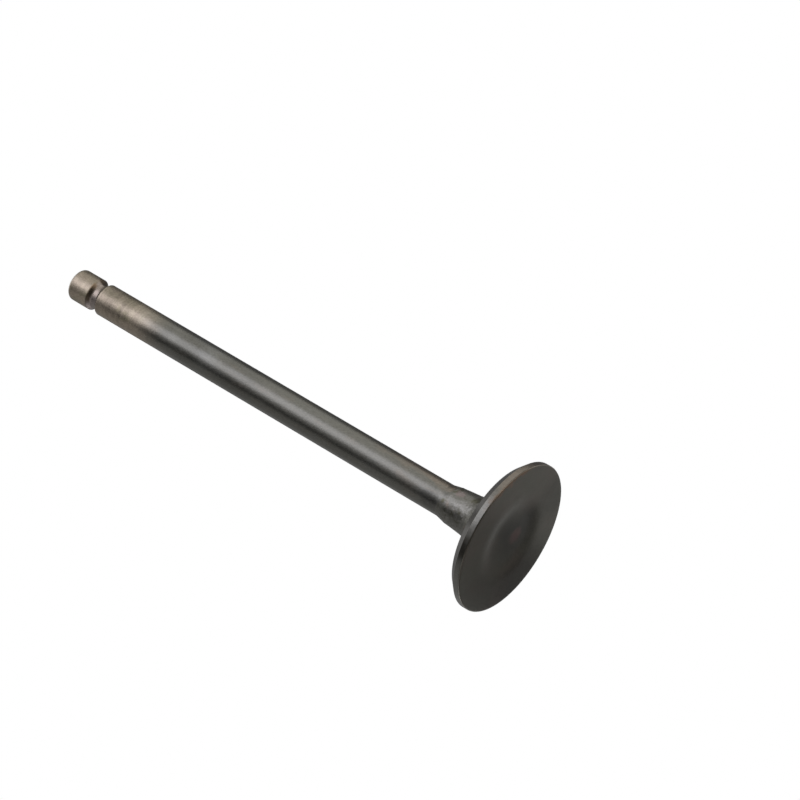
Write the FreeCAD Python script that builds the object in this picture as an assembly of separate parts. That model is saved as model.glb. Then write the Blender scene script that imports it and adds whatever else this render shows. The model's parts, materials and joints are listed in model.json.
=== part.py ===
import FreeCAD, Part
import math
import os

# Poppet valve of a piston engine, forged and turned in one piece. Sizes in millimetres.
# The origin is the middle of the head's flat face, and +Z runs up the stem to the tip.

# Whole valve
overall_length = 133.0
stem_diameter = 8.0

# Head: flat face, margin, seat cone and back
head_diameter = 37.4
margin_height = 1.6
face_edge_round = 0.35
seat_angle = 45.0
seat_width = 2.0
seat_edge_round = 0.3
back_angle = 15.0
tulip_round = 7.5

# Shallow dish in the middle of the face
dish_diameter = 21.2
dish_floor_diameter = 14.0
dish_depth = 0.42
dish_round = 24.0

# Forged neck, which tapers up to the shoulder where the ground stem starts
neck_height = 16.4
neck_top_diameter = 9.1
neck_taper_angle = 5.5
shoulder_length = 2.4
shoulder_round = 0.8

# Keeper groove and tip
tip_land_length = 6.3
groove_width = 2.9
groove_depth = 0.78
groove_tip_slope = 45.0
groove_stem_slope = 55.0
groove_root_round = 0.8
groove_lip_round = 0.2
tip_round = 1.1

# A round may take up at most this share of the shorter run beside its corner
run_share = 0.48


def run_between(first, second):
    """Length and unit direction of the straight run from one corner to the next."""
    across = second[0] - first[0]
    up = second[1] - first[1]
    length = math.hypot(across, up)
    return length, (across / length, up / length)


def point_at(radius, height):
    return FreeCAD.Vector(radius, 0, height)


def corner_arc(before, corner, after, wanted_round):
    """Start, middle and end of the arc that rounds a corner, tangent to both runs."""
    length_in, way_in = run_between(before, corner)
    length_out, way_out = run_between(corner, after)
    turn = math.acos(way_in[0] * way_out[0] + way_in[1] * way_out[1])
    setback = wanted_round * math.tan(turn / 2)
    setback = min(setback, run_share * length_in, run_share * length_out)
    radius = setback / math.tan(turn / 2)
    start = (corner[0] - way_in[0] * setback, corner[1] - way_in[1] * setback)
    end = (corner[0] + way_out[0] * setback, corner[1] + way_out[1] * setback)
    inward = (way_out[0] - way_in[0], way_out[1] - way_in[1])
    size = math.hypot(inward[0], inward[1])
    reach = radius / math.cos(turn / 2) - radius
    middle = (corner[0] + inward[0] / size * reach, corner[1] + inward[1] / size * reach)
    return start, middle, end


def rounded_face(corners):
    """Flat half section from (radius, height, round) corners, closed along the axis."""
    edges = []
    pen = corners[0][:2]
    for before, corner, after in zip(corners[:-2], corners[1:-1], corners[2:]):
        if corner[2] > 0:
            start, middle, end = corner_arc(before, corner, after, corner[2])
            edges.append(Part.LineSegment(point_at(*pen), point_at(*start)).toShape())
            edges.append(Part.Arc(point_at(*start), point_at(*middle), point_at(*end)).toShape())
            pen = end
        else:
            edges.append(Part.LineSegment(point_at(*pen), point_at(*corner[:2])).toShape())
            pen = corner[:2]
    edges.append(Part.LineSegment(point_at(*pen), point_at(*corners[-1][:2])).toShape())
    edges.append(Part.LineSegment(point_at(*corners[-1][:2]), point_at(*corners[0][:2])).toShape())
    return Part.Face(Part.Wire(edges))


def head_corners():
    """Dish, flat face, margin and seat cone, from the axis out to the seat's inner edge."""
    head_radius = head_diameter / 2
    seat_rise = seat_width * math.tan(math.radians(seat_angle))
    return [
        (0, dish_depth, 0),
        (dish_floor_diameter / 2, dish_depth, dish_round),
        (dish_diameter / 2, 0, dish_round),
        (head_radius, 0, face_edge_round),
        (head_radius, margin_height, 0),
        (head_radius - seat_width, margin_height + seat_rise, seat_edge_round),
    ]


def neck_corners(seat_edge):
    """Tulip under the head, tapered neck and the shoulder where the ground stem starts.

    The back cone leaves the seat's inner edge, and the neck's taper comes down from the
    shoulder. They meet in one corner, which the tulip's large round takes away.
    """
    neck_radius = neck_top_diameter / 2
    back_slope = math.tan(math.radians(back_angle))
    taper = math.tan(math.radians(neck_taper_angle))
    back_at_axis = seat_edge[1] + seat_edge[0] * back_slope
    neck_at_zero = neck_radius + neck_height * taper
    root_radius = (neck_at_zero - back_at_axis * taper) / (1 - back_slope * taper)
    root_height = back_at_axis - root_radius * back_slope
    return [
        (root_radius, root_height, tulip_round),
        (neck_radius, neck_height, shoulder_round),
        (stem_diameter / 2, neck_height + shoulder_length, shoulder_round),
    ]


def tip_corners():
    """Keeper groove with its rounded root, the land beyond it and the rounded tip."""
    stem_radius = stem_diameter / 2
    root_radius = stem_radius - groove_depth
    groove_top = overall_length - tip_land_length
    groove_bottom = groove_top - groove_width
    tip_slope_length = groove_depth / math.tan(math.radians(groove_tip_slope))
    stem_slope_length = groove_depth / math.tan(math.radians(groove_stem_slope))
    return [
        (stem_radius, groove_bottom, groove_lip_round),
        (root_radius, groove_bottom + stem_slope_length, groove_root_round),
        (root_radius, groove_top - tip_slope_length, groove_root_round),
        (stem_radius, groove_top, groove_lip_round),
        (stem_radius, overall_length, tip_round),
        (0, overall_length, 0),
    ]


def valve():
    corners = head_corners()
    corners += neck_corners(corners[-1])
    corners += tip_corners()
    section = rounded_face(corners)
    return section.revolve(FreeCAD.Vector(0, 0, 0), FreeCAD.Vector(0, 0, 1), 360)


os.makedirs("parts", exist_ok=True)
valve().exportStep("parts/valve.step")
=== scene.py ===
import json
import math

import bmesh
import bpy
from mathutils import Matrix, Vector, noise


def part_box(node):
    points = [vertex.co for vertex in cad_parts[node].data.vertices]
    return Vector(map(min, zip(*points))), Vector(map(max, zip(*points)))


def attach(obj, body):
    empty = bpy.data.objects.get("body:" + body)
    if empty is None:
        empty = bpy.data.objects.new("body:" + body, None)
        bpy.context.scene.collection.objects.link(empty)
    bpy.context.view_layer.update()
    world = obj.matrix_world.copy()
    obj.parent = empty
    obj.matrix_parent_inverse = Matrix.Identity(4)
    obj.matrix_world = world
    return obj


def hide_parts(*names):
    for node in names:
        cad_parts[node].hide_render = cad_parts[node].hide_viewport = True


# Engine valve standing on its head. Shapes are drawn in millimetres and scaled to metres once.
millimetre = 0.001
spotCore = 0.35  # share of a soft spot's size inside which it is full

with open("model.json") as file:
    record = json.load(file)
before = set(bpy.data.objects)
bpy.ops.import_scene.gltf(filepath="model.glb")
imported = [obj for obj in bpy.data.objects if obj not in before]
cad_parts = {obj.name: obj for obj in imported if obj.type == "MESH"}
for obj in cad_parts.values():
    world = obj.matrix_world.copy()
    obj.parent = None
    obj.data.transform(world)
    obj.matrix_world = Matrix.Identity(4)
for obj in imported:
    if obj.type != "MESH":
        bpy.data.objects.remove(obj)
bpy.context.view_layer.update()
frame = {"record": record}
print("frame loaded")


class Wire:
    # A node's output that takes Python arithmetic: each sign adds its Math node.
    def __init__(self, sheet, socket):
        self.sheet = sheet
        self.socket = socket

    def also(self, output):
        return Wire(self.sheet, self.socket.node.outputs[output])

    def __add__(self, other):
        return self.sheet.maths("ADD", self, other)

    __radd__ = __add__

    def __sub__(self, other):
        return self.sheet.maths("SUBTRACT", self, other)

    def __rsub__(self, other):
        return self.sheet.maths("SUBTRACT", other, self)

    def __mul__(self, other):
        return self.sheet.maths("MULTIPLY", self, other)

    __rmul__ = __mul__

    def __truediv__(self, other):
        return self.sheet.maths("DIVIDE", self, other)

    def __pow__(self, other):
        return self.sheet.maths("POWER", self, other)

    def swing(self, amount):
        # Noise from 0 to 1 turned into an unevenness about 0
        return (self - 0.5) * amount


class Sheet:
    # The node tree of one material, or of the world.
    def __init__(self, owner):
        owner.use_nodes = True
        self.tree = owner.node_tree
        self.tree.nodes.clear()

    def add(self, kind, settings=None, sockets=None, output=0):
        node = self.tree.nodes.new(kind)
        for name, value in (settings or {}).items():
            setattr(node, name, value)
        for name, value in (sockets or {}).items():
            if isinstance(value, Wire):
                self.tree.links.new(value.socket, node.inputs[name])
            else:
                node.inputs[name].default_value = value
        return Wire(self, node.outputs[output]) if node.outputs else None  # an output node has none

    def maths(self, operation, first, second):
        return self.add("ShaderNodeMath", {"operation": operation}, {0: first, 1: second})

    def fade(self, value, start, end):
        # 0 before start and 1 after end, with a soft step between; start may be the larger one
        limits = {"Value": value, "From Min": start, "From Max": end}
        return self.add("ShaderNodeMapRange", {"interpolation_type": "SMOOTHSTEP"}, limits)

    def blend(self, amount, first, second):
        # Sockets 6 and 7 of the Mix node are its two colours, and output 2 is the mixed one
        return self.add("ShaderNodeMix", {"data_type": "RGBA"}, {0: amount, 6: first, 7: second}, 2)

    def tone(self, colour, factor):
        # The colour made lighter or darker by a factor that changes over the surface
        return self.add("ShaderNodeVectorMath", {"operation": "SCALE"}, {0: colour, "Scale": factor})

    def spot(self, place, centre, size, unevenness):
        # 1 in the middle of a soft spot that fades out size millimetres from its centre
        away = self.add("ShaderNodeVectorMath", {"operation": "DISTANCE"}, {0: place, 1: centre}, "Value")
        return self.fade(away + size * unevenness, size, size * spotCore)

    def millimetres(self, stretch=(1, 1, 1), shift=(0, 0, 0)):
        # Place on the piece in millimetres, from the row frame, stretched for grain with a direction
        place = self.add("ShaderNodeTexCoord", output="Object")
        scale = [s / millimetre for s in stretch]
        return self.add("ShaderNodeMapping", None, {"Vector": place, "Scale": scale, "Location": shift})

    def axes(self, place):
        across = self.add("ShaderNodeSeparateXYZ", None, {0: place})
        return across, across.also("Y"), across.also("Z")

    def cloud(self, place, size, detail=3.0, roughness=0.55, distortion=0.0):
        # Noise from 0 to 1 whose lumps are about size millimetres across
        sockets = {
            "Vector": place,
            "Scale": 1 / size,
            "Detail": detail,
            "Roughness": roughness,
            "Distortion": distortion,
        }
        return self.add("ShaderNodeTexNoise", None, sockets)

    def bump(self, height):
        # Height is in millimetres
        sockets = {"Strength": 1.0, "Distance": millimetre, "Height": height}
        return self.add("ShaderNodeBump", None, sockets)


def newMaterial(name):
    material = bpy.data.materials.new(name)
    return material, Sheet(material)


def finishSteel(sheet, colour, roughness, height, metalness):
    # Every zone of the valve ends in this shader
    sockets = {
        "Base Color": colour,
        "Metallic": metalness["metallic"],
        "Specular Tint": metalness["edgeTint"],
        "Roughness": roughness,
        "Normal": sheet.bump(height),
    }
    shader = sheet.add("ShaderNodeBsdfPrincipled", None, sockets)
    sheet.add("ShaderNodeOutputMaterial", None, {"Surface": shader})


# Camera and studio. Places, sizes and distances are in millimetres, and angles are in degrees

studio = {
    "cameraPlace": (0.0, -767.87, -349.34),
    "cameraAim": (14.588, 0.0, 41.936),
    "cameraRoll": -59.955,
    "lens": 168.57,
    "sensorWidth": 36.0,
    "nearClip": 10.0,
    "lightAim": (0.0, 0.0, 55.0),
    "tipAim": (0.0, 0.0, 122.0),
    "shadeAim": (-8.0, 13.0, 0.0),
    "worldFill": 0.3,
    "floorGap": 0.1,
    "floorSize": 1500.0,
    "floorFade": (240.0, 640.0),
    "floorColour": (0.72, 0.72, 0.71, 1),
    "floorRoughness": 0.9,
}

# Azimuth 0 is the camera's side (-Y) and 90 is +X
softboxes = {
    "keyBox": {
        "azimuth": 13,
        "elevation": 33,
        "away": 1300,
        "size": (940, 1500),
        "radiance": 5.5,
        "colour": (0.97, 0.98, 1.09),
    },
    "sideBox": {
        "azimuth": 72,
        "elevation": 24,
        "away": 1100,
        "size": (1380, 1300),
        "radiance": 1.95,
        "colour": (1, 1, 0.97),
    },
    "topBox": {
        "azimuth": 0,
        "elevation": 84,
        "away": 1200,
        "size": (1100, 900),
        "radiance": 1.4,
        "colour": (1, 1, 1),
    },
    "lowBackBox": {
        "azimuth": 189,
        "elevation": -12,
        "away": 900,
        "size": (260, 170),
        "radiance": 1.35,
        "colour": (1, 1, 1),
    },
    "tipBox": {
        "azimuth": -7,
        "elevation": 33,
        "away": 300,
        "aim": "tipAim",
        "size": (125, 100),
        "radiance": 1.9,
        "colour": (0.97, 0.98, 1.09),
    },
    "lowSideBox": {
        "azimuth": 78,
        "elevation": -40,
        "away": 1200,
        "size": (900, 900),
        "radiance": 1.9,
        "colour": (1, 1, 1),
    },
}

# Upright boxes round the part, low enough to show only where it is seen from the side or above
ringRadiance = {-62: 2.6, 50: 3.4, 128: 2.4, 232: 3.4}
for azimuth, radiance in ringRadiance.items():
    softboxes["ringBox%d" % azimuth] = {
        "azimuth": azimuth,
        "elevation": -21,
        "away": 1200,
        "size": (480, 820),
        "radiance": radiance,
        "colour": (1, 1, 1),
    }

darkCards = {
    "frontCard": {"azimuth": -48, "elevation": 22, "away": 900, "size": (400, 1100), "grey": 0.1},
    "backCard": {"azimuth": 158, "elevation": 33, "away": 900, "size": (1800, 950), "grey": 0.3},
    "lowFrontCard": {"azimuth": -8, "elevation": -52, "away": 900, "size": (900, 800), "grey": 0.1},
    "lowBackCard": {"azimuth": 205, "elevation": -45, "away": 900, "size": (640, 560), "grey": 0.15},
    "tableShade": {
        "azimuth": 180,
        "elevation": -27,
        "away": 45,
        "aim": "shadeAim",
        "size": (22, 19),
        "grey": 0.12,
    },
}


def towards(azimuth, elevation):
    a = math.radians(azimuth)
    e = math.radians(elevation)
    return Vector((math.sin(a) * math.cos(e), -math.cos(a) * math.cos(e), math.sin(e)))


def facing(name, data, box):
    # An object at a distance from its aim that looks back at it along its own -Z
    aim = Vector(studio[box.get("aim", "lightAim")])
    way = towards(box["azimuth"], box["elevation"])
    thing = bpy.data.objects.new(name, data)
    thing.location = (aim + way * box["away"]) * millimetre
    thing.rotation_euler = (-way).to_track_quat("-Z", "Y").to_euler()
    bpy.context.scene.collection.objects.link(thing)
    return thing


def hideFrom(thing, *rays):
    for ray in rays:
        setattr(thing, "visible_" + ray, False)


def buildCamera():
    data = bpy.data.cameras.new("photoCamera")
    data.lens = studio["lens"]
    data.sensor_width = studio["sensorWidth"]
    data.clip_start = studio["nearClip"] * millimetre
    camera = bpy.data.objects.new("photoCamera", data)
    place = Vector(studio["cameraPlace"]) * millimetre
    way = Vector(studio["cameraAim"]) * millimetre - place
    turn = way.to_track_quat("-Z", "Y").to_matrix().to_4x4()
    roll = Matrix.Rotation(math.radians(studio["cameraRoll"]), 4, "Z")
    camera.matrix_world = Matrix.Translation(place) @ turn @ roll
    bpy.context.scene.collection.objects.link(camera)
    bpy.context.scene.camera = camera


def buildWorld():
    world = bpy.data.worlds.new("studioWorld")
    bpy.context.scene.world = world
    sheet = Sheet(world)
    ray = sheet.add("ShaderNodeLightPath", output="Is Camera Ray")
    seen = ray + ray.also("Is Glossy Ray") + ray.also("Is Transmission Ray")
    fill = studio["worldFill"]
    strength = fill + (1 - fill) * seen
    light = sheet.add("ShaderNodeBackground", None, {"Color": (1, 1, 1, 1), "Strength": strength})
    sheet.add("ShaderNodeOutputWorld", None, {"Surface": light})


def buildLights():
    for name, box in softboxes.items():
        width, height = [side * millimetre for side in box["size"]]
        data = bpy.data.lights.new(name, "AREA")
        data.shape = "ELLIPSE"
        data.size = width
        data.size_y = height
        data.energy = box["radiance"] * math.pi * width * height * math.pi / 4
        data.color = box["colour"]
        lamp = facing(name, data, box)
        hideFrom(lamp, "camera")


def buildCards():
    for name, card in darkCards.items():
        material, sheet = newMaterial(name)
        grey = card["grey"]
        glow = sheet.add("ShaderNodeEmission", None, {"Color": (grey, grey, grey, 1)})
        sheet.add("ShaderNodeOutputMaterial", None, {"Surface": glow})
        plane = bmesh.new()
        bmesh.ops.create_grid(plane, x_segments=1, y_segments=1, size=0.5)
        bmesh.ops.scale(plane, vec=[side * millimetre for side in card["size"]] + [1], verts=plane.verts)
        mesh = bpy.data.meshes.new(name)
        plane.to_mesh(mesh)
        plane.free()
        mesh.materials.append(material)
        thing = facing(name, mesh, card)
        hideFrom(thing, "camera", "diffuse", "shadow", "transmission")


def buildFloor():
    # The floor shows from above only, so the photograph's low view looks past it into white,
    # and it fades out round the valve so that no horizon shows
    material, sheet = newMaterial("paleFloor")
    paint = {"Base Color": studio["floorColour"], "Roughness": studio["floorRoughness"]}
    pale = sheet.add("ShaderNodeBsdfPrincipled", None, paint)
    clear = sheet.add("ShaderNodeBsdfTransparent")
    below = sheet.add("ShaderNodeNewGeometry", output="Backfacing")
    x, y = sheet.axes(sheet.millimetres())[:2]
    faded = sheet.fade((x * x + y * y) ** 0.5, *studio["floorFade"])
    hidden = sheet.maths("MAXIMUM", below, faded)
    mixed = sheet.add("ShaderNodeMixShader", None, {0: hidden, 1: pale, 2: clear})
    sheet.add("ShaderNodeOutputMaterial", None, {"Surface": mixed})
    plane = bmesh.new()
    half = studio["floorSize"] * millimetre / 2
    bmesh.ops.create_grid(plane, x_segments=1, y_segments=1, size=half)
    bmesh.ops.translate(plane, vec=(0, 0, -studio["floorGap"] * millimetre), verts=plane.verts)
    mesh = bpy.data.meshes.new("studioFloor")
    plane.to_mesh(mesh)
    plane.free()
    mesh.materials.append(material)
    floor = bpy.data.objects.new("studioFloor", mesh)
    bpy.context.scene.collection.objects.link(floor)
    hideFrom(floor, "diffuse", "glossy", "shadow", "transmission")


bpy.context.scene.view_settings.view_transform = "Standard"
buildCamera()
buildWorld()
buildLights()
buildCards()
buildFloor()
print("camera, lights and floor ready")


# The valve

lowest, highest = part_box("valve")
stemMount = next(mount for mount in frame["record"]["mounts"] if mount["name"] == "stem")

valve = {
    "length": (highest.z - lowest.z) / millimetre,
    "headRadius": (highest.x - lowest.x) / millimetre / 2,
    "stemRadius": stemMount["dims"]["r_mm"],
    "dishRadius": 10.6,
    "dishFloorRadius": 7.0,
    "dishDepth": 0.42,
    "dishRound": 24.0,
    "faceEdgeRound": 0.35,
    "marginHeight": 1.6,
    "marginEdgeRound": 0.1,
    "seatWidth": 2.0,
    "seatEdgeRound": 0.3,
    "backAngle": 15.0,
    "tulipRound": 7.5,
    "neckTop": 16.4,
    "neckRadius": 4.55,
    "neckTaper": 5.5,
    "shoulderTop": 18.8,
    "shoulderRound": 0.8,
    "tipLand": 6.3,
    "grooveWidth": 2.9,
    "grooveDepth": 0.78,
    "grooveTipSlope": 45.0,
    "grooveStemSlope": 55.0,
    "grooveRootRound": 0.8,
    "grooveLipRound": 0.2,
    "tipRound": 1.1,
    "segments": 256,
    "arcStep": 7.5,
    "mergeDistance": 0.0005,
    "sharpAngle": 32,
    # Where each finish takes over: the face's height and turn, and the end's share of the tip's round
    "faceSpare": 0.05,
    "faceTurn": -0.7,
    "endShare": 0.3,
}

# Longest edge of the section by height, so the rings are close only where the surface is uneven;
# the neck's rings go on this far above the shoulder
ringSpacing = {"face": 0.8, "neck": 0.3, "stem": 2.5}
neckSpare = 2  # the neck's close rings go on this far above the shoulder

# Uneven lumps of the forging; the fine ones are drawn from another place of the same noise
forging = {
    "height": 0.05,
    "size": 2.6,
    "fineRatio": 2.7,
    "fineShift": (9, 4, 2),
    "fineShare": 0.4,
    "aboveSeat": 0.5,
    "fadeIn": 2,
    "fadeOut": 1.5,
}


def sectionCorners():
    # (radius, height, round) from the middle of the dish, over the head and up the stem to the tip
    v = valve
    seatTop = v["marginHeight"] + v["seatWidth"]
    seatInner = v["headRadius"] - v["seatWidth"]
    backSlope = math.tan(math.radians(v["backAngle"]))
    taper = math.tan(math.radians(v["neckTaper"]))
    backAtAxis = seatTop + seatInner * backSlope
    neckAtZero = v["neckRadius"] + v["neckTop"] * taper
    rootRadius = (neckAtZero - backAtAxis * taper) / (1 - backSlope * taper)
    rootHeight = backAtAxis - rootRadius * backSlope
    grooveRoot = v["stemRadius"] - v["grooveDepth"]
    grooveTop = v["length"] - v["tipLand"]
    grooveBottom = grooveTop - v["grooveWidth"]
    tipRun = v["grooveDepth"] / math.tan(math.radians(v["grooveTipSlope"]))
    stemRun = v["grooveDepth"] / math.tan(math.radians(v["grooveStemSlope"]))
    return [
        (0, v["dishDepth"], 0),
        (v["dishFloorRadius"], v["dishDepth"], v["dishRound"]),
        (v["dishRadius"], 0, v["dishRound"]),
        (v["headRadius"], 0, v["faceEdgeRound"]),
        (v["headRadius"], v["marginHeight"], v["marginEdgeRound"]),
        (seatInner, seatTop, v["seatEdgeRound"]),
        (rootRadius, rootHeight, v["tulipRound"]),
        (v["neckRadius"], v["neckTop"], v["shoulderRound"]),
        (v["stemRadius"], v["shoulderTop"], v["shoulderRound"]),
        (v["stemRadius"], grooveBottom, v["grooveLipRound"]),
        (grooveRoot, grooveBottom + stemRun, v["grooveRootRound"]),
        (grooveRoot, grooveTop - tipRun, v["grooveRootRound"]),
        (v["stemRadius"], grooveTop, v["grooveLipRound"]),
        (v["stemRadius"], v["length"], v["tipRound"]),
        (0, v["length"], 0),
    ]


def lineTo(mesh, pen, place):
    run = bmesh.ops.extrude_vert_indiv(mesh, verts=[pen])
    run["verts"][0].co = (place.x, 0, place.y)
    return run["verts"][0]


def arcFrom(mesh, pen, centre, turn):
    # The round of a corner: the pen's vertex is spun about the arc's centre
    steps = max(3, round(abs(math.degrees(turn)) / valve["arcStep"]))
    middle = (centre.x, 0, centre.y)
    arc = bmesh.ops.spin(mesh, geom=[pen], cent=middle, axis=(0, -1, 0), angle=turn, steps=steps)
    return next(part for part in arc["geom_last"] if isinstance(part, bmesh.types.BMVert))


def drawSection(mesh):
    corners = sectionCorners()
    pen = mesh.verts.new((corners[0][0], 0, corners[0][1]))
    for before, corner, after in zip(corners, corners[1:], corners[2:]):
        here = Vector(corner[:2])
        wayIn = (here - Vector(before[:2])).normalized()
        wayOut = (Vector(after[:2]) - here).normalized()
        turn = math.atan2(wayIn.x * wayOut.y - wayIn.y * wayOut.x, wayIn.dot(wayOut))
        setback = abs(corner[2] * math.tan(turn / 2))
        start = here - wayIn * setback
        pen = lineTo(mesh, pen, start)
        if corner[2] > 0:
            inward = Vector((-wayIn.y, wayIn.x)) * math.copysign(corner[2], turn)
            pen = arcFrom(mesh, pen, start + inward, turn)
    lineTo(mesh, pen, Vector(corners[-1][:2]))


def closeRings(mesh):
    for edge in list(mesh.edges):
        first, second = [vert.co for vert in edge.verts]
        height = (first.z + second.z) / 2
        if height < valve["marginHeight"]:
            spacing = ringSpacing["face"]
        elif height < valve["shoulderTop"] + neckSpare:
            spacing = ringSpacing["neck"]
        else:
            spacing = ringSpacing["stem"]
        cuts = math.ceil(edge.calc_length() / spacing) - 1
        if cuts > 0:
            bmesh.ops.subdivide_edges(mesh, edges=[edge], cuts=cuts)


def roughenNeck(mesh):
    # The forging was left as it came out of the die between the seat and the shoulder
    lowEnd = valve["marginHeight"] + valve["seatWidth"] + forging["aboveSeat"]
    highEnd = valve["shoulderTop"]
    for vert in mesh.verts:
        height = vert.co.z
        if not lowEnd < height < highEnd:
            continue
        near = min((height - lowEnd) / forging["fadeIn"], (highEnd - height) / forging["fadeOut"], 1)
        place = vert.co / forging["size"]
        lump = noise.noise(place)
        fine = noise.noise(place * forging["fineRatio"] + Vector(forging["fineShift"]))
        vert.co += vert.normal * near * forging["height"] * (lump + forging["fineShare"] * fine)


def zoneOf(face):
    # Which finish a face takes, by where it sits on the section
    place = face.calc_center_median()
    radius = math.hypot(place.x, place.y)
    seatTop = valve["marginHeight"] + valve["seatWidth"]
    if place.z > valve["length"] - valve["tipRound"] * valve["endShare"]:
        return "tipEnd"
    if place.z < valve["dishDepth"] + valve["faceSpare"] and face.normal.z < valve["faceTurn"]:
        return "face"
    if place.z < seatTop and radius > valve["headRadius"] - valve["seatWidth"]:
        return "rim"
    return "body"


def buildValve(materials):
    mesh = bmesh.new()
    drawSection(mesh)
    closeRings(mesh)
    bmesh.ops.spin(
        mesh,
        geom=mesh.verts[:] + mesh.edges[:],
        cent=(0, 0, 0),
        axis=(0, 0, 1),
        angle=math.tau,
        steps=valve["segments"],
        use_merge=True,
    )
    bmesh.ops.remove_doubles(mesh, verts=mesh.verts, dist=valve["mergeDistance"])
    bmesh.ops.recalc_face_normals(mesh, faces=mesh.faces)
    mesh.normal_update()
    roughenNeck(mesh)
    zones = list(materials)
    for face in mesh.faces:
        face.smooth = True
        face.material_index = zones.index(zoneOf(face))
    for edge in mesh.edges:
        edge.smooth = edge.calc_face_angle(0) < math.radians(valve["sharpAngle"])
    bmesh.ops.scale(mesh, vec=(millimetre,) * 3, verts=mesh.verts)
    data = bpy.data.meshes.new("turnedValve")
    mesh.to_mesh(data)
    mesh.free()
    for material in materials.values():
        data.materials.append(material)
    piece = bpy.data.objects.new("turnedValve", data)
    bpy.context.scene.collection.objects.link(piece)
    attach(piece, "root")
    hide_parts("valve")
    print("valve built,", len(data.polygons), "faces")


# Finishes. Colours are the reflection of the dark oxide at straight view; lengths are in millimetres.
# A pair is a soft step: where it starts and where it is complete. A share is how much of a colour is
# mixed in, a sway is how far noise moves an edge to and fro, and a tone makes a colour lighter or darker.
# A noise is the size of its lumps, its detail, its roughness and its distortion.

steel = {
    "metallic": 1.0,
    "edgeTint": (0.75, 0.75, 0.75, 1),
}


def onPart(azimuth, height, radius):
    # A place on the part by azimuth, height and distance from the axis
    place = towards(azimuth, 0) * radius
    place.z = height
    return place


def stemMark(sheet, place, mark, unevenness):
    # A soft mark on the stem's surface, given by azimuth, height and size
    azimuth, height, size = mark
    return sheet.spot(place, onPart(azimuth, height, valve["stemRadius"]), size, unevenness)


def grindLines(sheet, finish):
    # Fine rings round the axis, left by the wheel or the tool; they run out and come back round the part
    place = sheet.millimetres((0.04, 0.04, 1))
    return sheet.cloud(place, *finish["lineNoise"]).swing(finish["lineDepth"])


def facingRings(sheet, x, y, radius, finish):
    # Fine rings round the middle of a flat face
    runOut = finish["ringRunOut"]
    place = sheet.add("ShaderNodeCombineXYZ", None, {0: radius, 1: runOut * x, 2: runOut * y})
    return sheet.cloud(place, *finish["ringNoise"]).swing(finish["ringDepth"])


stemFinish = {
    "oxide": (0.0556, 0.0542, 0.0482, 1),
    "brownOxide": (0.074, 0.0628, 0.0515, 1),
    "paleOxide": (0.063, 0.063, 0.0595, 1),
    "tipTan": (0.13, 0.109, 0.0855, 1),
    "tipGrey": (0.0935, 0.0812, 0.062, 1),
    "tipOlive": (0.1, 0.09, 0.0595, 1),
    "tipPlum": (0.106, 0.088, 0.07, 1),
    # Rubbed bare steel, lightened further as a painted sheen along the end's round
    "rubbedEdgeAndSheen": (0.27, 0.245, 0.215, 1),
    "streakNoise": (1.6, 4.0, 0.6, 0.4),
    "patchNoise": (6.0, 3.0),
    "speckNoise": (0.4, 3.0, 0.7),
    "tintNoise": (2.6, 3.0, 0.5, 0.6),
    "ringNoise": (0.5, 3.0, 0.65),
    "brownSide": (1.2, 3.4),
    "brownHeight": (48, 22),
    "brownSway": 14,
    "brownStreaks": (0.5, 0.72),
    "brownNearNeck": 0.25,
    "brownShare": 0.3,
    "palePatches": (0.5, 0.7),
    "paleShare": 0.6,
    "greySide": (-0.7, 0.9),
    "greySway": 2.4,
    "oliveTints": (0.56, 0.7),
    "oliveShare": 0.55,
    "plumTints": (0.52, 0.38),
    "plumShare": 0.6,
    "tipBand": (101.0, 114.0),
    "tipBandSway": 9,
    "tipBandStreaks": 5,
    "speckTone": 0.85,
    "tipSpeckTone": 0.25,
    "tipRingTone": 0.7,
    "rubbedBand": (-0.85, -0.35),
    "rubbedSway": 0.3,
    "roughness": 0.355,
    "tipRoughness": 0.44,
    "speckRoughness": 0.12,
    "streakRoughness": 0.1,
    "lineNoise": (0.28, 2.0, 0.6),
    "lineDepth": 0.0006,
    "grainDepth": 0.009,
    "tipGrain": 0.4,
    "markSway": 0.4,
    # Azimuth, height, size and tone of each soft mark along the stem; the two lighter ones, at azimuths
    # -4 and -24, are painted highlight that widens the light's reflection towards the tip
    "marksAndPaintedHighlights": [
        (-26, 21, 3.4, -0.25),
        (5, 80, 9, -0.1),
        (12, 95, 6, -0.14),
        (10, 103.5, 4, -0.1),
        (-4, 111, 5, 0.2),
        (20, 118, 6, -0.2),
        (-24, 129, 3, 0.22),
    ],
}


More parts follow.
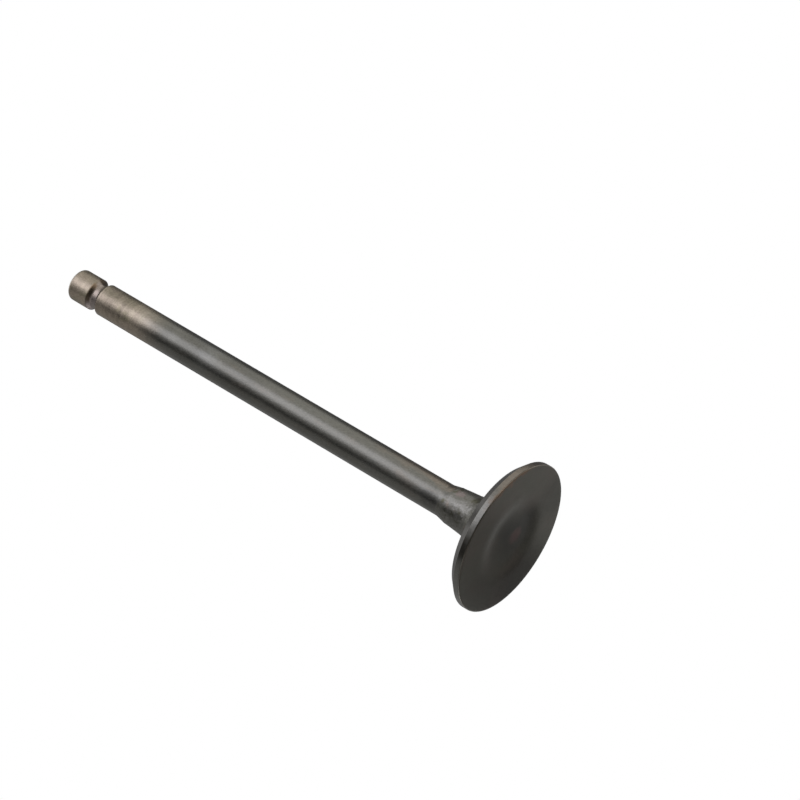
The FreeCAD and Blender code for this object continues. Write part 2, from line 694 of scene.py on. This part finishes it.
def groundStem(sheet, place, across, height):
    finish = stemFinish
    streaks = sheet.cloud(sheet.millimetres((1, 1, 0.22)), *finish["streakNoise"])
    patches = sheet.cloud(sheet.millimetres((1, 1, 0.45), (31, 7, 3)), *finish["patchNoise"])
    specks = sheet.cloud(sheet.millimetres((1, 1, 0.6)), *finish["speckNoise"])
    tints = sheet.cloud(sheet.millimetres((1, 1, 0.8), (2, 13, 5)), *finish["tintNoise"])
    rings = sheet.cloud(sheet.millimetres((0.06, 0.06, 1), (4, 9, 1)), *finish["ringNoise"])

    # Grey oxide, browner in streaks on one side near the neck
    nearNeck = sheet.fade(height + streaks.swing(finish["brownSway"]), *finish["brownHeight"])
    nearNeck = nearNeck * sheet.fade(across, *finish["brownSide"])
    brown = sheet.fade(streaks + finish["brownNearNeck"] * nearNeck, *finish["brownStreaks"])
    share = finish["brownShare"]
    colour = sheet.blend(brown * (share + (1 - share) * nearNeck), finish["oxide"], finish["brownOxide"])
    pale = sheet.fade(patches, *finish["palePatches"])
    colour = sheet.blend(pale * finish["paleShare"], colour, finish["paleOxide"])

    # Tan band at the tip
    side = across / valve["stemRadius"] + streaks.swing(finish["greySway"])
    tan = sheet.blend(sheet.fade(side, *finish["greySide"]), finish["tipTan"], finish["tipGrey"])
    olive = sheet.fade(tints, *finish["oliveTints"])
    tan = sheet.blend(olive * finish["oliveShare"], tan, finish["tipOlive"])
    plum = sheet.fade(tints, *finish["plumTints"])
    tan = sheet.blend(plum * finish["plumShare"], tan, finish["tipPlum"])
    level = height + patches.swing(finish["tipBandSway"]) + streaks.swing(finish["tipBandStreaks"])
    nearTip = sheet.fade(level, *finish["tipBand"])
    colour = sheet.blend(nearTip, colour, tan)

    # Specks, rings, soft marks and painted highlight, and the rubbed round at the very end, made light
    # enough to paint a sheen along it
    tone = 1 + specks.swing(finish["speckTone"] + finish["tipSpeckTone"] * nearTip)
    tone = tone + rings.swing(finish["tipRingTone"] * nearTip)
    # The lighter marks are painted highlight; the darker ones make the stem darker in spots
    for *mark, strength in finish["marksAndPaintedHighlights"]:
        tone = tone + strength * stemMark(sheet, place, mark, streaks.swing(finish["markSway"]))
    colour = sheet.tone(colour, tone)
    # The rubbed round is bare steel, lightened further to paint the pale sheen of light along the end's
    # edge
    belowEnd = height + streaks.swing(finish["rubbedSway"]) - valve["length"]
    colour = sheet.blend(sheet.fade(belowEnd, *finish["rubbedBand"]), colour, finish["rubbedEdgeAndSheen"])

    roughness = finish["roughness"] + (finish["tipRoughness"] - finish["roughness"]) * nearTip
    roughness = roughness + specks.swing(finish["speckRoughness"])
    roughness = roughness + streaks.swing(finish["streakRoughness"])
    grain = finish["grainDepth"] * (1 + finish["tipGrain"] * nearTip)
    relief = grindLines(sheet, finish) + specks.swing(grain)
    return colour, roughness, relief


forgedFinish = {
    "oxide": (0.0565, 0.055, 0.0493, 1),
    # Olive of the stains, also used for the painted shade of the low side and the flare
    "oliveStainAndShade": (0.028, 0.0265, 0.016, 1),
    "brownStain": (0.068, 0.0575, 0.0485, 1),
    "pinkStain": (0.083, 0.068, 0.066, 1),
    "paleScale": (0.083, 0.0802, 0.0735, 1),
    "scaleNoise": (0.9, 4.0, 0.62, 0.3),
    "pitNoise": (0.35, 2.0),
    "stainNoise": (3.2, 4.0, 0.6, 0.5),
    "fleckNoise": (0.7, 3.0, 0.7),
    "paleLumps": (0.5, 0.72),
    "oliveStains": (0.56, 0.7),
    "oliveShare": 0.8,
    "brownStains": (0.42, 0.3),
    "brownShare": 0.7,
    "shadedLowSide": (0.5, -3.0),
    "shadedLowSideSway": 3,
    "shadedLowSideShare": 0.12,
    "darkFlecks": (0.47, 0.33),
    "fleckShare": 0.3,
    "lowFleckShare": 0.3,
    "fleckTone": 0.5,
    # Azimuth, height, distance from the axis, size and colour of each stain in a set place; the olive one
    # on the flare, at height 9.9, is painted shade
    "stainSpots": [
        (42, 14.8, 4.7, 1.5, "pinkStain"),
        (52, 17.7, 4.2, 1.7, "oliveStainAndShade"),
        (40, 9.9, 5.3, 1.6, "oliveStainAndShade"),
        (66, 15.6, 4.6, 1.1, "oliveStainAndShade"),
        (-4, 17.4, 4.3, 0.7, "oliveStainAndShade"),
    ],
    "spotSway": 1.6,
    "spotShare": 0.75,
    "roughness": 0.38,
    "scaleRoughness": 0.25,
    "scaleDepth": 0.03,
    "pits": (0.42, 0.28),
    "pitDepth": 0.014,
    # Where the ground stem takes over from the forging, counted from the shoulder's top
    "edgeDrop": 1.0,
    "edgeTilt": 0.35,
    "edgeNoise": (1.4, 3.0),
    "edgeSway": 1.6,
    "edgeStep": (0.35, -0.35),
}


def forgedNeck(sheet, place, across):
    finish = forgedFinish
    scale = sheet.cloud(place, *finish["scaleNoise"])
    pits = sheet.cloud(place, *finish["pitNoise"])
    stainsAndPaintedLight = sheet.cloud(sheet.millimetres((1, 1, 1), (5, 17, 2)), *finish["stainNoise"])
    flecks = sheet.cloud(sheet.millimetres((1, 1, 1), (8, 3, 6)), *finish["fleckNoise"])

    colour = sheet.blend(sheet.fade(scale, *finish["paleLumps"]), finish["oxide"], finish["paleScale"])
    olive = sheet.fade(stainsAndPaintedLight, *finish["oliveStains"])
    colour = sheet.blend(olive * finish["oliveShare"], colour, finish["oliveStainAndShade"])
    brown = sheet.fade(stainsAndPaintedLight, *finish["brownStains"])
    colour = sheet.blend(brown * finish["brownShare"], colour, finish["brownStain"])
    # Painted shade: the low side, towards -x, is darker and more olive, with more dark flecks
    shadedLowSide = sheet.fade(across + scale.swing(finish["shadedLowSideSway"]), *finish["shadedLowSide"])
    dark = sheet.fade(flecks, *finish["darkFlecks"])
    dark = dark * (finish["fleckShare"] + finish["lowFleckShare"] * shadedLowSide)
    colour = sheet.blend(dark, colour, finish["oliveStainAndShade"])
    colour = sheet.blend(shadedLowSide * finish["shadedLowSideShare"], colour, finish["oliveStainAndShade"])
    # The set stains, of which the one on the flare is painted shade
    for azimuth, height, radius, size, stain in finish["stainSpots"]:
        centre = onPart(azimuth, height, radius)
        mark = sheet.spot(place, centre, size, scale.swing(finish["spotSway"]))
        colour = sheet.blend(mark * finish["spotShare"], colour, finish[stain])
    colour = sheet.tone(colour, 1 + flecks.swing(finish["fleckTone"]))

    roughness = finish["roughness"] + scale.swing(finish["scaleRoughness"])
    relief = scale * finish["scaleDepth"] - sheet.fade(pits, *finish["pits"]) * finish["pitDepth"]
    return colour, roughness, relief


# Heights are counted up from the groove's foot on the stem's side or from its lip on the tip's side.
# A side is x over the distance from the axis, from -1 to 1.
grooveFinish = {
    "floor": (0.122, 0.103, 0.09, 1),
    "plum": (0.103, 0.088, 0.083, 1),
    # The next three are painted shade colours
    "foot": (0.045, 0.038, 0.03, 1),
    "brown": (0.082, 0.057, 0.036, 1),
    "blackShade": (0.022, 0.016, 0.01, 1),
    "lumpNoise": (1.0, 3.0),
    "sideSway": 0.3,
    "blackShadeSide": (0.78, 0.95),
    "sunkDepth": (0.05, 0.3),
    "floorFromFoot": (-1, 0),
    "floorToLip": (0.3, 0),
    "floorShare": 0.85,
    "floorTone": 1.08,
    "plumSide": (-0.1, -0.45),
    "shadedSide": (-0.1, 0.45),
    "shadedTone": 0.28,
    # Painted highlight on the floor: azimuth, height and size
    "paintedHighlightMark": (48, 126.1, 1.5),
    "paintedHighlightTone": 0.4,
    "footStart": (-0.2, 0.05),
    "footEnd": (1.05, 0.5),
    "footWidens": 0.4,
    "footWideSide": (0.1, 0.6),
    "footSide": (-0.4, 0),
    "footShare": 0.8,
    "wallStart": (-0.95, -0.4),
    "wallEnd": (0.42, 0.15),
    "wallSide": (0.72, 0.36),
    "wallBrownSide": (0, 0.5),
    "wallPlumSide": (-0.55, -0.9),
    "wallShare": 0.9,
    # Painted shade over the lip: azimuth, height and size
    "lipShade": (78, 126.9, 1.5),
    "lipShadeShare": 0.5,
    "markSway": 0.6,
}


def grooveWearAndPaintedShade(sheet, place, colour):
    # Rubbed floor with a painted highlight in one place and painted shade towards +x; painted shade at
    # the foot on the stem's side, brown to black painted shade on the wall by the tip, and black painted
    # shade along the +x side and over the lip in one place
    finish = grooveFinish
    x, y, height = sheet.axes(place)
    radius = (x * x + y * y) ** 0.5
    aboveLip = height - (valve["length"] - valve["tipLand"])
    aboveFoot = aboveLip + valve["grooveWidth"]
    lumps = sheet.cloud(place, *finish["lumpNoise"])
    side = x / radius + lumps.swing(finish["sideSway"])
    # Painted shade: black along the +x side of the groove
    blackShade = sheet.fade(side, *finish["blackShadeSide"])

    # The floor's rubbed colour, with a painted highlight in one place and painted shade towards +x
    uneven = lumps.swing(finish["markSway"])
    shaded = finish["shadedTone"] * sheet.fade(side, *finish["shadedSide"])
    pale = finish["paintedHighlightTone"] * stemMark(sheet, place, finish["paintedHighlightMark"], uneven)
    floor = sheet.blend(sheet.fade(side, *finish["plumSide"]), finish["floor"], finish["plum"])
    floor = sheet.tone(floor, finish["floorTone"] - shaded + pale)
    floor = sheet.blend(blackShade, floor, finish["blackShade"])
    sunk = sheet.fade(valve["stemRadius"] - radius, *finish["sunkDepth"])
    sunk = sunk * sheet.fade(aboveFoot, *finish["floorFromFoot"])
    sunk = sunk * sheet.fade(aboveLip, *finish["floorToLip"])
    colour = sheet.blend(sunk * finish["floorShare"], colour, floor)

    # Painted shade at the foot on the stem's side
    widened = aboveFoot - finish["footWidens"] * sheet.fade(side, *finish["footWideSide"])
    foot = sheet.fade(aboveFoot, *finish["footStart"]) * sheet.fade(widened, *finish["footEnd"])
    foot = foot * sheet.fade(side, *finish["footSide"])
    colour = sheet.blend(foot * finish["footShare"], colour, finish["foot"])

    # Painted shade on the wall by the tip: black in the middle, brown towards +x and plum towards -x
    wall = sheet.fade(aboveLip, *finish["wallStart"]) * sheet.fade(aboveLip, *finish["wallEnd"])
    wall = wall * sheet.maths("MAXIMUM", sheet.fade(side, *finish["wallSide"]), blackShade)
    wallShade = sheet.blend(sheet.fade(side, *finish["wallBrownSide"]), finish["blackShade"], finish["brown"])
    wallShade = sheet.blend(sheet.fade(side, *finish["wallPlumSide"]), wallShade, finish["plum"])
    wallShade = sheet.blend(blackShade, wallShade, finish["blackShade"])
    colour = sheet.blend(wall * finish["wallShare"], colour, wallShade)
    # Painted shade over the lip in one place
    lipShade = stemMark(sheet, place, finish["lipShade"], uneven)
    return sheet.blend(lipShade * finish["lipShadeShare"], colour, finish["blackShade"])


def bodySteel():
    # Ground stem, and the forged neck below its shoulder; the two meet along an uneven edge
    material, sheet = newMaterial("bodySteel")
    finish = forgedFinish
    place = sheet.millimetres()
    x, y, height = sheet.axes(place)
    stem = groundStem(sheet, place, x, height)
    neck = forgedNeck(sheet, place, x)
    lumps = sheet.cloud(place, *finish["edgeNoise"]).swing(finish["edgeSway"])
    edge = valve["shoulderTop"] - finish["edgeDrop"] - finish["edgeTilt"] * x + lumps
    forged = sheet.fade(height - edge, *finish["edgeStep"])
    colour = sheet.blend(forged, stem[0], neck[0])
    colour = grooveWearAndPaintedShade(sheet, place, colour)
    roughness = stem[1] + forged * (neck[1] - stem[1])
    relief = stem[2] + forged * (neck[2] - stem[2])
    finishSteel(sheet, colour, roughness, relief, steel)
    return material


# Shared by the margin and the face, so that a rust mark runs on round the edge between them
rustNoise = (2.4, 3.0, 0.6)


def rustBlotches(sheet):
    return sheet.cloud(sheet.millimetres((1, 1, 1), (6, 12, 1)), *rustNoise)


# Heights are counted up from the face; sides are x over the head's radius, from -1 to 1
rimFinish = {
    "oxide": (0.0525, 0.051, 0.0462, 1),
    "heatBrown": (0.07, 0.06, 0.05, 1),
    # Painted shade along the margin's lower edge
    "paintedEdgeShade": (0.02, 0.018, 0.015, 1),
    "rustEdge": (0.06, 0.0415, 0.029, 1),
    # Painted shade where the margin reflects dark surroundings
    "paintedShade": (0.024, 0.0215, 0.0175, 1),
    "seatSteel": (0.0765, 0.0725, 0.0665, 1),
    "mottleNoise": (1.8, 4.0, 0.6),
    "wideNoise": (7.0, 3.0),
    "scratchNoise": (0.45, 3.0, 0.65),
    "heatSide": (0.15, 0.75),
    "heatSway": 0.9,
    "paintedShadeAzimuth": -22,
    "paintedShadeSway": 0.03,
    "paintedShadePatch": (0.984, 0.999),
    "paintedShadeShare": 0.75,
    "rustStart": (0.12, 0.24),
    "rustEnd": (0.56, 0.42),
    "rustSway": 0.3,
    "rustHeight": (1.0, 0.3),
    "rustHeightSway": 5,
    "rustShare": 0.35,
    "edgeHeight": (0.5, 0.15),
    "edgeSway": 0.5,
    "edgeShare": 0.3,
    "edgeRustShare": 0.25,
    "edgeRust": (0.42, 0.56),
    "edgePaintedShadeShare": 0.5,
    "edgePaintedShade": (0.85, 0.97),
    "seatStart": (-0.05, 0.1),
    "seatShare": 0.6,
    "scratchTone": 0.7,
    "farSide": (-0.5, -0.75),
    "farTone": 0.3,
    # Azimuth, size and tone of the painted highlight, a paler place on the margin where the light's
    # reflection falls
    "paintedHighlightSpot": (60, 3.0, 0.5),
    "paintedHighlightSway": 0.4,
    "roughness": 0.34,
    "mottleRoughness": 0.14,
    "seatGloss": 0.04,
    "lineNoise": (0.16, 2.0, 0.6),
    "lineDepth": 0.0012,
    "mottleDepth": 0.002,
}


def rimSteel():
    # Margin and seat cone: fine turned rings, a brown heat tint on one side and a brighter ground seat,
    # with painted shade on one side and along the lower edge and a painted highlight near the face
    material, sheet = newMaterial("rimSteel")
    finish = rimFinish
    place = sheet.millimetres()
    x, y, height = sheet.axes(place)
    mottle = sheet.cloud(place, *finish["mottleNoise"])
    wide = sheet.cloud(sheet.millimetres((1, 1, 2), (3, 8, 21)), *finish["wideNoise"])
    scratches = sheet.cloud(sheet.millimetres((1, 1, 0.5)), *finish["scratchNoise"])
    blotches = rustBlotches(sheet)
    side = x / valve["headRadius"]

    heat = sheet.fade(side + wide.swing(finish["heatSway"]), *finish["heatSide"])
    colour = sheet.blend(heat, finish["oxide"], finish["heatBrown"])
    # Painted shade: a dark patch on the side towards azimuth -22, where the margin reflects dark
    # surroundings
    paintedShadeWay = towards(finish["paintedShadeAzimuth"], 0) / valve["headRadius"]
    towardsPaintedShade = x * paintedShadeWay.x + y * paintedShadeWay.y + mottle.swing(finish["paintedShadeSway"])
    paintedShade = sheet.fade(towardsPaintedShade, *finish["paintedShadePatch"])
    colour = sheet.blend(paintedShade * finish["paintedShadeShare"], colour, finish["paintedShade"])

    # Rust climbs the margin in blotches, and its lower edge is darkened with painted shade, rusty where
    # the rust is, and darker still towards the painted shade patch
    rust = sheet.fade(side + mottle.swing(finish["rustSway"]), *finish["rustStart"])
    rust = rust * sheet.fade(side, *finish["rustEnd"])
    climbing = sheet.fade(height - blotches.swing(finish["rustHeightSway"]), *finish["rustHeight"])
    colour = sheet.blend(rust * climbing * finish["rustShare"], colour, finish["rustEdge"])
    rusty = rust * sheet.fade(blotches, *finish["edgeRust"])
    inPaintedShade = sheet.fade(towardsPaintedShade, *finish["edgePaintedShade"])
    share = finish["edgeShare"] + finish["edgeRustShare"] * rusty + finish["edgePaintedShadeShare"] * inPaintedShade
    edge = sheet.fade(height + mottle.swing(finish["edgeSway"]), *finish["edgeHeight"])
    edgeShadeAndRust = sheet.blend(rust, finish["paintedEdgeShade"], finish["rustEdge"])
    colour = sheet.blend(edge * share, colour, edgeShadeAndRust)

    seat = sheet.fade(height - valve["marginHeight"], *finish["seatStart"])
    least = finish["seatShare"]
    colour = sheet.blend(seat * (least + (1 - least) * mottle), colour, finish["seatSteel"])
    # Painted highlight: a paler spot on the margin by the face's edge
    azimuth, size, strength = finish["paintedHighlightSpot"]
    centre = onPart(azimuth, 0, valve["headRadius"])
    pale = strength * sheet.spot(place, centre, size, mottle.swing(finish["paintedHighlightSway"]))
    farSide = finish["farTone"] * sheet.fade(side, *finish["farSide"])
    colour = sheet.tone(colour, 1 + scratches.swing(finish["scratchTone"]) + farSide + pale)

    roughness = finish["roughness"] + mottle.swing(finish["mottleRoughness"]) - finish["seatGloss"] * seat
    relief = grindLines(sheet, finish) + finish["mottleDepth"] * mottle
    finishSteel(sheet, colour, roughness, relief, steel)
    return material


faceFinish = {
    "oxide": (0.0508, 0.0486, 0.0392, 1),
    "warmOxide": (0.0548, 0.0478, 0.0392, 1),
    "dishShade": (0.0258, 0.0246, 0.02, 1),
    "rustTrace": (0.066, 0.04, 0.036, 1),
    "rustEdge": (0.083, 0.052, 0.034, 1),
    "mottleNoise": (2.2, 5.0, 0.62, 0.3),
    "wideNoise": (9.0, 3.0),
    "fineNoise": (0.5, 2.0),
    "warmPatches": (0.4, 0.66),
    "shadeCentre": (2.2, 1.4, 0.4),
    "shadeReach": 1.5,
    "shadeShare": 0.75,
    "fineTone": 0.5,
    # Azimuth, distance from the axis, size and tone of each wide soft spot: the three out by the edge are
    # painted shade and painted light, darker towards one side and lighter towards the other where nearby
    # things are reflected, and the two in the dish make its floor darker in places
    "stainsAndPaintedLight": [
        (120, 15.5, 8, -0.24),
        (-150, 15, 9, -0.24),
        (-40, 14, 9, 0.16),
        (115, 5.3, 5, -0.34),
        (25, 4.6, 5, -0.26),
    ],
    "stainAndShadeSway": 0.4,
    "rustFromRim": (-1.4, -0.2),
    "rustSway": 10,
    "rustStart": (0.26, 0.4),
    "rustEnd": (0.9, 0.76),
    "rustFront": (0, -3),
    "rustShare": 0.75,
    # The reddish trace in the dish: x, y and size
    "tracePlace": (1.1, 2.0, 2.7),
    "traceSway": 1.2,
    "traceShare": 0.85,
    "roughness": 0.36,
    "mottleRoughness": 0.14,
    "fineRoughness": 0.06,
    "ringNoise": (0.3, 3.0, 0.6),
    "ringRunOut": 0.01,
    "ringDepth": 0.0008,
    "mottleDepth": 0.0025,
}


def faceSteel():
    # Flat face and dish: nearly even dark oxide with turned rings, a little darker in the dish, with
    # painted shade and painted light in wide soft spots
    material, sheet = newMaterial("faceSteel")
    finish = faceFinish
    place = sheet.millimetres()
    x, y = sheet.axes(place)[:2]
    radius = (x * x + y * y) ** 0.5
    mottle = sheet.cloud(place, *finish["mottleNoise"])
    wide = sheet.cloud(sheet.millimetres((1, 1, 1), (11, 4, 9)), *finish["wideNoise"])
    fine = sheet.cloud(place, *finish["fineNoise"])

    colour = sheet.blend(sheet.fade(wide, *finish["warmPatches"]), finish["oxide"], finish["warmOxide"])
    uneven = wide.swing(finish["stainAndShadeSway"])
    shadeSize = valve["dishFloorRadius"] + finish["shadeReach"]
    shade = sheet.spot(place, finish["shadeCentre"], shadeSize, uneven)
    colour = sheet.blend(shade * finish["shadeShare"], colour, finish["dishShade"])
    # Painted shade and painted light: soft spots darken the face towards one side, lighten it towards the
    # other, and darken the dish floor in places
    tone = 1 + fine.swing(finish["fineTone"])
    for azimuth, away, size, strength in finish["stainsAndPaintedLight"]:
        tone = tone + strength * sheet.spot(place, onPart(azimuth, 0, away), size, uneven)
    colour = sheet.tone(colour, tone)

    fromRim = radius - valve["headRadius"] + rustBlotches(sheet).swing(finish["rustSway"])
    side = x / radius
    rust = sheet.fade(fromRim, *finish["rustFromRim"]) * sheet.fade(y, *finish["rustFront"])
    rust = rust * sheet.fade(side, *finish["rustStart"]) * sheet.fade(side, *finish["rustEnd"])
    colour = sheet.blend(rust * finish["rustShare"], colour, finish["rustEdge"])
    traceX, traceY, traceSize = finish["tracePlace"]
    centre = (traceX, traceY, valve["dishDepth"])
    trace = sheet.spot(place, centre, traceSize, mottle.swing(finish["traceSway"]))
    colour = sheet.blend(trace * finish["traceShare"], colour, finish["rustTrace"])

    roughness = finish["roughness"] + mottle.swing(finish["mottleRoughness"])
    roughness = roughness + fine.swing(finish["fineRoughness"])
    relief = facingRings(sheet, x, y, radius, finish) + finish["mottleDepth"] * mottle
    finishSteel(sheet, colour, roughness, relief, steel)
    return material


# The end's low edge tint keeps it from glaring white where it is seen nearly edge on
tipEndFinish = {
    "metallic": 1.0,
    "edgeTint": (0.16, 0.16, 0.16, 1),
    "oxide": (0.24, 0.218, 0.19, 1),
    "rubbed": (0.2, 0.19, 0.175, 1),
    "mottleNoise": (0.8, 4.0, 0.6),
    "rubbedRadius": (3.0, 1.8),
    "rubbedSway": 1.2,
    "rubbedShare": 0.7,
    "roughness": 0.3,
    "mottleRoughness": 0.16,
    "ringNoise": (0.2, 2.0, 0.6),
    "ringRunOut": 0.02,
    "ringDepth": 0.0015,
}


def tipEndSteel():
    # End of the stem, rubbed in the middle by the rocker
    material, sheet = newMaterial("tipEndSteel")
    finish = tipEndFinish
    place = sheet.millimetres()
    x, y = sheet.axes(place)[:2]
    radius = (x * x + y * y) ** 0.5
    mottle = sheet.cloud(place, *finish["mottleNoise"])
    rubbed = sheet.fade(radius + mottle.swing(finish["rubbedSway"]), *finish["rubbedRadius"])
    colour = sheet.blend(rubbed * finish["rubbedShare"], finish["oxide"], finish["rubbed"])
    roughness = finish["roughness"] + mottle.swing(finish["mottleRoughness"])
    finishSteel(sheet, colour, roughness, facingRings(sheet, x, y, radius, finish), finish)
    return material


finishes = {"body": bodySteel(), "rim": rimSteel(), "face": faceSteel(), "tipEnd": tipEndSteel()}
print("finishes ready")
buildValve(finishes)
